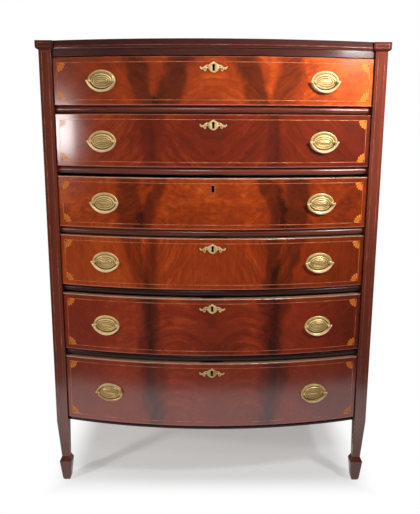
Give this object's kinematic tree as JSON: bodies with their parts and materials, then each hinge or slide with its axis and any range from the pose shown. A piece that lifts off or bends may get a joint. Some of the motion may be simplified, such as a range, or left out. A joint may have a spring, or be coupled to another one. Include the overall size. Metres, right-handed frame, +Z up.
{
  "type": "bow front chest of drawers",
  "caption": "Tall bow front chest of graduated sliding drawers on square tapered legs with spade feet, with oval brass pulls, scrolled escutcheons, string and fan inlay.",
  "frame": {"origin": "on the floor, under the middle of the chest's box", "axes": "+Z up, +Y from the bowed front to the back, +X to the right as seen from the front"},
  "size_m": [0.979, 0.5465, 1.3378],
  "materials": {
    "mahogany": "polished",
    "flame_mahogany": "polished veneer",
    "pine": "bare, aged",
    "brass": "aged, lacquered",
    "lock_steel": "worn"
  },
  "bodies": {
    "case": {"top_board": "mahogany", "post_caps": "mahogany", "frieze_rail": "mahogany", "front_left_post": "mahogany", "front_right_post": "mahogany", "rear_left_post": "mahogany", "rear_right_post": "mahogany", "side_panels": "mahogany", "back_boards": "pine", "drawer_dividers": "mahogany", "drawer_runners": "pine", "drawer_stops": "pine"},
    "drawer_1": {"drawer_1_front": "flame_mahogany", "drawer_1_sides": "pine", "drawer_1_back": "pine", "drawer_1_bottom": "pine", "drawer_1_brasses": "brass"},
    "drawer_1_lock_bolt": {"drawer_1_lock_bolt": "lock_steel"},
    "drawer_1_left_bail": {"drawer_1_left_bail": "brass"},
    "drawer_1_right_bail": {"drawer_1_right_bail": "brass"},
    "drawer_2": {"drawer_2_front": "flame_mahogany", "drawer_2_sides": "pine", "drawer_2_back": "pine", "drawer_2_bottom": "pine", "drawer_2_brasses": "brass"},
    "drawer_2_lock_bolt": {"drawer_2_lock_bolt": "lock_steel"},
    "drawer_2_left_bail": {"drawer_2_left_bail": "brass"},
    "drawer_2_right_bail": {"drawer_2_right_bail": "brass"},
    "drawer_3": {"drawer_3_front": "flame_mahogany", "drawer_3_sides": "pine", "drawer_3_back": "pine", "drawer_3_bottom": "pine", "drawer_3_brasses": "brass"},
    "drawer_3_lock_bolt": {"drawer_3_lock_bolt": "lock_steel"},
    "drawer_3_left_bail": {"drawer_3_left_bail": "brass"},
    "drawer_3_right_bail": {"drawer_3_right_bail": "brass"},
    "drawer_4": {"drawer_4_front": "flame_mahogany", "drawer_4_sides": "pine", "drawer_4_back": "pine", "drawer_4_bottom": "pine", "drawer_4_brasses": "brass"},
    "drawer_4_lock_bolt": {"drawer_4_lock_bolt": "lock_steel"},
    "drawer_4_left_bail": {"drawer_4_left_bail": "brass"},
    "drawer_4_right_bail": {"drawer_4_right_bail": "brass"},
    "drawer_5": {"drawer_5_front": "flame_mahogany", "drawer_5_sides": "pine", "drawer_5_back": "pine", "drawer_5_bottom": "pine", "drawer_5_brasses": "brass"},
    "drawer_5_lock_bolt": {"drawer_5_lock_bolt": "lock_steel"},
    "drawer_5_left_bail": {"drawer_5_left_bail": "brass"},
    "drawer_5_right_bail": {"drawer_5_right_bail": "brass"},
    "drawer_6": {"drawer_6_front": "flame_mahogany", "drawer_6_sides": "pine", "drawer_6_back": "pine", "drawer_6_bottom": "pine", "drawer_6_brasses": "brass"},
    "drawer_6_lock_bolt": {"drawer_6_lock_bolt": "lock_steel"},
    "drawer_6_left_bail": {"drawer_6_left_bail": "brass"},
    "drawer_6_right_bail": {"drawer_6_right_bail": "brass"}
  },
  "joints": [
    {"name": "drawer_1_slide", "type": "slide", "parent": "case", "child": "drawer_1", "axis": [0, -1, 0], "range_m": [0, 0.33]},
    {"name": "drawer_1_lock_bolt_slide", "type": "slide", "parent": "drawer_1", "child": "drawer_1_lock_bolt", "axis": [0, 0, 1], "range_m": [0, 0.0115]},
    {"name": "drawer_1_left_bail_swing", "type": "hinge", "parent": "drawer_1", "child": "drawer_1_left_bail", "pos_m": [-0.30765, -0.24428, 1.22979], "axis": [-0.9809, 0.1946, 0], "range_deg": [0, 186.59]},
    {"name": "drawer_1_right_bail_swing", "type": "hinge", "parent": "drawer_1", "child": "drawer_1_right_bail", "pos_m": [0.30765, -0.24428, 1.22979], "axis": [-0.9809, -0.1946, 0], "range_deg": [0, 186.59]},
    {"name": "drawer_2_slide", "type": "slide", "parent": "case", "child": "drawer_2", "axis": [0, -1, 0], "range_m": [0, 0.33]},
    {"name": "drawer_2_lock_bolt_slide", "type": "slide", "parent": "drawer_2", "child": "drawer_2_lock_bolt", "axis": [0, 0, 1], "range_m": [0, 0.0115]},
    {"name": "drawer_2_left_bail_swing", "type": "hinge", "parent": "drawer_2", "child": "drawer_2_left_bail", "pos_m": [-0.31079, -0.24365, 1.06708], "axis": [-0.9805, 0.1966, 0], "range_deg": [0, 186.59]},
    {"name": "drawer_2_right_bail_swing", "type": "hinge", "parent": "drawer_2", "child": "drawer_2_right_bail", "pos_m": [0.31079, -0.24365, 1.06708], "axis": [-0.9805, -0.1966, 0], "range_deg": [0, 186.59]},
    {"name": "drawer_3_slide", "type": "slide", "parent": "case", "child": "drawer_3", "axis": [0, -1, 0], "range_m": [0, 0.33]},
    {"name": "drawer_3_lock_bolt_slide", "type": "slide", "parent": "drawer_3", "child": "drawer_3_lock_bolt", "axis": [0, 0, 1], "range_m": [0, 0.0115]},
    {"name": "drawer_3_left_bail_swing", "type": "hinge", "parent": "drawer_3", "child": "drawer_3_left_bail", "pos_m": [-0.30945, -0.24392, 0.895], "axis": [-0.9807, 0.1957, 0], "range_deg": [0, 186.59]},
    {"name": "drawer_3_right_bail_swing", "type": "hinge", "parent": "drawer_3", "child": "drawer_3_right_bail", "pos_m": [0.30945, -0.24392, 0.895], "axis": [-0.9807, -0.1957, 0], "range_deg": [0, 186.59]},
    {"name": "drawer_4_slide", "type": "slide", "parent": "case", "child": "drawer_4", "axis": [0, -1, 0], "range_m": [0, 0.33]},
    {"name": "drawer_4_lock_bolt_slide", "type": "slide", "parent": "drawer_4", "child": "drawer_4_lock_bolt", "axis": [0, 0, 1], "range_m": [0, 0.0115]},
    {"name": "drawer_4_left_bail_swing", "type": "hinge", "parent": "drawer_4", "child": "drawer_4_left_bail", "pos_m": [-0.31169, -0.24347, 0.7228], "axis": [-0.9804, 0.1972, 0], "range_deg": [0, 186.59]},
    {"name": "drawer_4_right_bail_swing", "type": "hinge", "parent": "drawer_4", "child": "drawer_4_right_bail", "pos_m": [0.31169, -0.24347, 0.7228], "axis": [-0.9804, -0.1972, 0], "range_deg": [0, 186.59]},
    {"name": "drawer_5_slide", "type": "slide", "parent": "case", "child": "drawer_5", "axis": [0, -1, 0], "range_m": [0, 0.33]},
    {"name": "drawer_5_lock_bolt_slide", "type": "slide", "parent": "drawer_5", "child": "drawer_5_lock_bolt", "axis": [0, 0, 1], "range_m": [0, 0.0115]},
    {"name": "drawer_5_left_bail_swing", "type": "hinge", "parent": "drawer_5", "child": "drawer_5_left_bail", "pos_m": [-0.31529, -0.24274, 0.53076], "axis": [-0.9799, 0.1994, 0], "range_deg": [0, 186.59]},
    {"name": "drawer_5_right_bail_swing", "type": "hinge", "parent": "drawer_5", "child": "drawer_5_right_bail", "pos_m": [0.31529, -0.24274, 0.53076], "axis": [-0.9799, -0.1994, 0], "range_deg": [0, 186.59]},
    {"name": "drawer_6_slide", "type": "slide", "parent": "case", "child": "drawer_6", "axis": [0, -1, 0], "range_m": [0, 0.33]},
    {"name": "drawer_6_lock_bolt_slide", "type": "slide", "parent": "drawer_6", "child": "drawer_6_lock_bolt", "axis": [0, 0, 1], "range_m": [0, 0.0115]},
    {"name": "drawer_6_left_bail_swing", "type": "hinge", "parent": "drawer_6", "child": "drawer_6_left_bail", "pos_m": [-0.31124, -0.24356, 0.31648], "axis": [-0.9804, 0.1969, 0], "range_deg": [-186.59, 0]},
    {"name": "drawer_6_right_bail_swing", "type": "hinge", "parent": "drawer_6", "child": "drawer_6_right_bail", "pos_m": [0.31124, -0.24356, 0.31648], "axis": [-0.9804, -0.1969, 0], "range_deg": [0, 186.59]}
  ]
}
